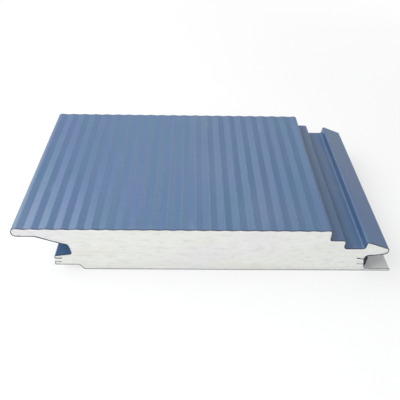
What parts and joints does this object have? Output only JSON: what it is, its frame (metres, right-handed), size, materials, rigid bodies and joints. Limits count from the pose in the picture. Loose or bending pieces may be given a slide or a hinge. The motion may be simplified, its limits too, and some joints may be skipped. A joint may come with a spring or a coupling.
{
  "type": "insulated sandwich panel",
  "caption": "Wall panel with two steel skins on a foam core: ribbed outer face, tongue and groove edges with a hidden screw pocket, sealed joint.",
  "frame": {"origin": "on the inner face, halfway between the two joint lines and halfway along the length", "axes": "+Z out of the ribbed outer face, +X across the panel from the groove edge to the tongue edge, Y along the profile"},
  "size_m": [0.332, 0.186, 0.05],
  "materials": {
    "outer_skin": "blue coil coating, satin",
    "inner_skin": "off-white coil coating, satin",
    "foam_core": "sawn rigid foam, matt",
    "joint_gasket": "dark sealing strip, matt"
  },
  "bodies": {
    "root": {"outer_skin": "outer_skin", "inner_skin": "inner_skin", "foam_core": "foam_core", "joint_gasket": "joint_gasket"}
  },
  "joints": []
}
